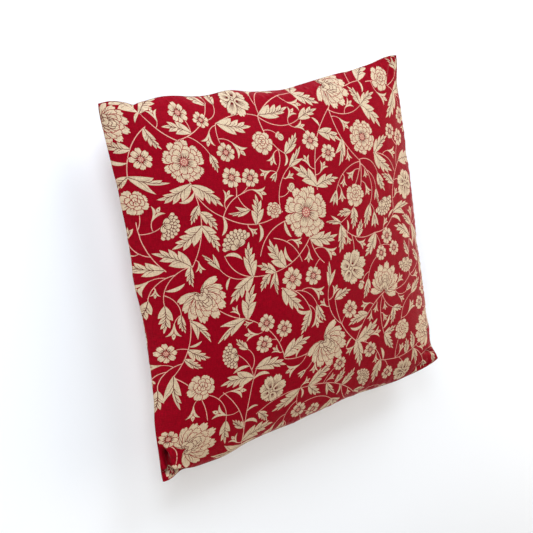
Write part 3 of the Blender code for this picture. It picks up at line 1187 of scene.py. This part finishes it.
def print_regions():
    """Cuts all the print's shapes along one another.

    Returns the points, the triangles and each triangle's ink, where the highest shape wins.
    """
    points = as_vectors(PRINT_HALF * np.array([-1 - 1j, 1 - 1j, 1 + 1j, -1 + 1j]))
    outlines = []
    inks = []
    for ink, outline in draw_print():
        if max(np.abs(outline.real).min(), np.abs(outline.imag).min()) > PANEL_HALF:
            continue
        if signed_area(outline) < 0.0:
            outline = outline[::-1]
        outlines.append(list(range(len(points), len(points) + len(outline))))
        points += as_vectors(outline)
        inks.append(ink)
    cut = delaunay_2d_cdt(points, [], outlines, 0, WELD, True)
    top = [inks[max(owners)] if owners else GROUND for owners in cut[5]]
    flat = np.array([point[:] for point in cut[0]])
    return flat, np.array(cut[2]), np.array(top)


def ink_borders(triangles, top):
    """Returns the edges that have different inks on their two sides."""
    pairs = np.concatenate([triangles[:, [0, 1]], triangles[:, [1, 2]], triangles[:, [2, 0]]])
    pairs = np.sort(pairs, axis=1)
    order = np.lexsort((pairs[:, 1], pairs[:, 0]))
    pairs = pairs[order]
    inks = np.tile(top, 3)[order]
    same = np.all(pairs[1:] == pairs[:-1], axis=1)
    return pairs[1:][same & (inks[1:] != inks[:-1])]


def rim_loop():
    """Returns the points along the seam, in flat cloth coordinates."""
    count = int(round(CLOTH_SIDE / EDGE_STEP))
    bottom = np.linspace(-0.5, 0.5, count, endpoint=False) * CLOTH_SIDE - 1j * PANEL_HALF
    return np.concatenate([bottom, 1j * bottom, -bottom, -1j * bottom])


def grid_points(low, side, step):
    """Returns a staggered grid of points inside a square, given its lowest corner and side."""
    rows = int(round(side / step))
    row, column = np.mgrid[1:rows, 1:rows]
    offset = np.where(row % 2, 0.25, -0.25)
    return (low + side / rows * (column + offset + 1j * row)).ravel()


def filling_points(borders):
    """Returns grid points clear of the borders' own points, closer together at the corners."""
    middle = PANEL_HALF - CORNER_ZONE
    grid = grid_points(complex(-PANEL_HALF, -PANEL_HALF), CLOTH_SIDE, GRID_STEP)
    free = [(place, 1) for place in grid if min(abs(place.real), abs(place.imag)) < middle]
    for x in (-PANEL_HALF, middle):
        for y in (-PANEL_HALF, middle):
            free += [(place, 0) for place in grid_points(complex(x, y), CORNER_ZONE, CORNER_STEP)]
    taken = {(x // CLEAR_CELL, y // CLEAR_CELL) for x, y in borders}
    kept = []
    for place, reach in free:
        column = place.real // CLEAR_CELL
        row = place.imag // CLEAR_CELL
        near = range(-reach, reach + 1)
        if not any((column + a, row + b) in taken for a in near for b in near):
            kept.append(place)
    return kept


def flat_panel():
    """Returns the flat printed panel: points, triangles and the ink of each triangle."""
    flat, triangles, top = print_regions()
    borders = ink_borders(triangles, top)
    near = np.all(np.abs(flat[borders]).min(axis=1) < PANEL_HALF, axis=1)
    used, borders = np.unique(borders[near], return_inverse=True)

    rim = rim_loop()
    points = [Vector(place) for place in flat[used].tolist()]
    first = len(points)
    points += as_vectors(rim) + as_vectors(filling_points(flat[used]))
    edges = borders.reshape(-1, 2).tolist()
    edges += [[first + k, first + (k + 1) % len(rim)] for k in range(len(rim))]
    cut = delaunay_2d_cdt(points, edges, [], 0, WELD, False)
    places = np.array([point[:] for point in cut[0]])
    faces = np.array(cut[2])

    middles = places[faces].mean(axis=1)
    inside = np.all(np.abs(middles) < PANEL_HALF, axis=1)
    tree = BVHTree.FromPolygons(np.pad(flat, ((0, 0), (0, 1))).tolist(), triangles.tolist())
    inks = np.array([top[tree.find_nearest((x, y, 0.0))[2]] for x, y in middles[inside]])
    kept, faces = np.unique(faces[inside], return_inverse=True)
    return np.clip(places[kept], -PANEL_HALF, PANEL_HALF), faces.reshape(-1, 3), inks


def cloth_piece(name, surface, panel, material):
    """Builds one printed panel on its surface, mirrored if it faces down."""
    places, faces, inks = panel
    u = places[:, 0] / PANEL_HALF * surface.outwards
    v = places[:, 1] / PANEL_HALF
    mesh = bpy.data.meshes.new(name)
    mesh.from_pydata(surface.points(u, v).tolist(), [], faces.tolist())
    mesh.shade_smooth()
    mesh.normals_split_custom_set_from_vertices(surface.normals(u, v).tolist())

    chart = mesh.uv_layers.new(name="OFBake")
    chart.data.foreach_set("uv", (0.5 + CHART_SHARE * places[faces.ravel()] / CLOTH_SIDE).ravel())
    colours = np.array([INKS[ink] + (1.0,) for ink in inks])
    dye = mesh.color_attributes.new("print", "FLOAT_COLOR", "CORNER")
    dye.data.foreach_set("color", np.repeat(colours, 3, axis=0).ravel())
    mesh.materials.append(material)
    return add_object(name, mesh)


# ---- materials


class Nodes:
    """The node tree of a material or a world, with short ways to add to it."""

    def __init__(self, owner):
        owner.use_nodes = True
        self.tree = owner.node_tree

    def fill(self, node, sockets):
        """Sets a node's sockets, by name or number, to plain values or to other results."""
        for name, value in sockets.items():
            if isinstance(value, bpy.types.NodeSocket):
                self.tree.links.new(value, node.inputs[name])
            else:
                node.inputs[name].default_value = value

    def add(self, kind, sockets=None, **settings):
        """Adds a shader node of a kind, with its sockets and settings."""
        node = self.tree.nodes.new("ShaderNode" + kind)
        for name, value in settings.items():
            setattr(node, name, value)
        self.fill(node, sockets or {})
        return node

    def math(self, operation, first, second=0.0):
        """Adds a Math node and returns its result."""
        return self.add("Math", {0: first, 1: second}, operation=operation).outputs[0]

    def total(self, *parts):
        """Returns the sum of some results, each times its weight."""
        weighted = [self.math("MULTIPLY", value, weight) for value, weight in parts]
        result = weighted[0]
        for part in weighted[1:]:
            result = self.math("ADD", result, part)
        return result

    def noise(self, place, scale, detail=2.0):
        """Adds a Noise Texture and returns its value."""
        sockets = {"Vector": place, "Scale": scale, "Detail": detail}
        return self.add("TexNoise", sockets).outputs["Fac"]

    def stretched(self, place, scale):
        """Scales a place by a different amount along each axis."""
        return self.add("Mapping", {"Vector": place, "Scale": scale}).outputs[0]

    def faded(self, value, low, high, at_low, at_high, **settings):
        """Maps a value between two limits to a range of its own."""
        sockets = {"Value": value, "From Min": low, "From Max": high, "To Min": at_low, "To Max": at_high}
        return self.add("MapRange", sockets, **settings).outputs[0]


def cotton_material():
    """Returns matt printed cotton: dye, mottling, slubs and a plain weave."""
    material = bpy.data.materials.new("printed_cotton")
    nodes = Nodes(material)
    chart = nodes.add("UVMap", uv_map="OFBake").outputs[0]
    size = 1000.0 * CLOTH_SIDE / CHART_SHARE
    place = nodes.stretched(chart, (size, size, size))  # millimetres on the flat cloth
    split = nodes.add("SeparateXYZ", {0: place})
    turn = 2.0 * math.pi / THREAD
    warp = nodes.math("SINE", nodes.math("MULTIPLY", split.outputs[0], turn))
    weft = nodes.math("SINE", nodes.math("MULTIPLY", split.outputs[1], turn))
    weave = nodes.math("MULTIPLY", warp, weft)
    slub_along = nodes.noise(nodes.stretched(place, (SLUB_STRETCH, 1.0, 1.0)), 1.0)
    slub_across = nodes.noise(nodes.stretched(place, (1.0, SLUB_STRETCH, 1.0)), 1.0)
    slubs = nodes.math("ADD", slub_along, slub_across)
    speckle = (nodes.noise(place, SPECKLE_SCALE), SPECKLE)
    clouds = (nodes.noise(place, CLOUD_SCALE, 3.0), CLOUDING)

    shade = nodes.total(speckle, (slubs, SLUB_SHADE), clouds, (weave, WEAVE_SHADE))
    shade = nodes.math("ADD", shade, 1.0 - 0.5 * SPECKLE - SLUB_SHADE - 0.5 * CLOUDING)
    dye = nodes.add("Attribute", attribute_name="print").outputs["Color"]
    tinted = nodes.add("VectorMath", {0: dye, "Scale": shade}, operation="SCALE")
    height = nodes.total((weave, WEAVE_BUMP), (slubs, SLUB_BUMP))
    relief = {"Strength": 0.35, "Distance": 0.25 * MM, "Height": height}
    nodes.fill(nodes.tree.nodes["Principled BSDF"], {
        "Base Color": tinted.outputs[0],
        "Normal": nodes.add("Bump", relief).outputs[0],
        "Roughness": 0.62,
        "Specular IOR Level": 0.03,
        "Sheen Weight": 0.12,
        "Sheen Roughness": 0.25,
        "Sheen Tint": SHEEN_TINT,
    })
    return material


def floor_material():
    """Returns the plain pale floor, with painted light: it glows, more the farther it is from the cover.
    """
    material = bpy.data.materials.new("pale_floor")
    nodes = Nodes(material)
    place = nodes.add("NewGeometry").outputs["Position"]
    distance = nodes.add("VectorMath", {0: place}, operation="LENGTH").outputs["Value"]
    limits = (GLOW_START, GLOW_END, FLOOR_GLOW, FAR_GLOW)
    nodes.fill(nodes.tree.nodes["Principled BSDF"], {
        "Base Color": FLOOR_COLOUR,
        "Roughness": 0.75,
        "Specular IOR Level": 0.0,
        # painted light: the floor's glow, faint by the cover and stronger farther out
        "Emission Color": WHITE,
        "Emission Strength": nodes.faded(distance, *limits, interpolation_type="SMOOTHSTEP"),
    })
    return material


# ---- stage, light and camera


def add_floor():
    """Adds the floor under the cover."""
    mesh = bpy.data.meshes.new("floor")
    corners = [(FLOOR_HALF * x, FLOOR_HALF * y, 0.0) for x, y in ((-1, -1), (1, -1), (1, 1), (-1, 1))]
    mesh.from_pydata(corners, [], [(0, 1, 2, 3)])
    mesh.materials.append(floor_material())
    floor = add_object("floor", mesh)


def add_lights():
    """Lights the cover with wide, soft lamps in a room that is white at its horizon."""
    for lamp in LAMPS:
        light = bpy.data.lights.new(lamp.name, "AREA")
        light.size = lamp.size
        light.energy = lamp.power
        light.color = lamp.colour
        holder = add_object(lamp.name, light)
        holder.location = lamp.place
        holder.rotation_euler = lamp.place.to_track_quat("Z", "Y").to_euler()
    world = bpy.data.worlds.new("studio")
    bpy.context.scene.world = world
    nodes = Nodes(world)
    view = nodes.add("TexCoord").outputs["Generated"]
    height = nodes.add("SeparateXYZ", {0: view}).outputs["Z"]
    strength = nodes.faded(height, *HORIZON, 1.0, ROOM_LIGHT)
    nodes.fill(nodes.tree.nodes["Background"], {"Color": WHITE, "Strength": strength})
    bpy.context.scene.view_settings.view_transform = "Standard"


def add_camera():
    """Adds the camera, its top turned towards the cover's top edge and then rolled."""
    backward = (CAMERA_PLACE - CAMERA_TARGET).normalized()
    upward = Vector((0.0, 1.0, 0.0))
    upward = (upward - backward * upward.dot(backward)).normalized()
    upward = Matrix.Rotation(math.radians(CAMERA_ROLL), 3, backward) @ upward
    sideways = upward.cross(backward)
    data = bpy.data.cameras.new("camera")
    data.lens = CAMERA_LENS
    data.sensor_width = 36.0
    camera = add_object("camera", data)
    turn = Matrix((sideways, upward, backward)).transposed().to_4x4()
    camera.matrix_world = Matrix.Translation(CAMERA_PLACE) @ turn
    bpy.context.scene.camera = camera


# ---- putting it together


def add_cover():
    """Adds both printed panels in place of the CAD solid."""
    front, back = form_grids()
    front, back = settled(front, back)
    panel = flat_panel()
    cotton = cotton_material()
    pieces = [
        cloth_piece("front_cloth", Surface(front, FRONT_CREASES, 1.0), panel, cotton),
        cloth_piece("back_cloth", Surface(back, [], -1.0), panel, cotton),
    ]
    for piece in pieces:
        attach(piece, "root")
        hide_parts("filled_cover")


add_cover()
add_floor()
add_lights()
add_camera()
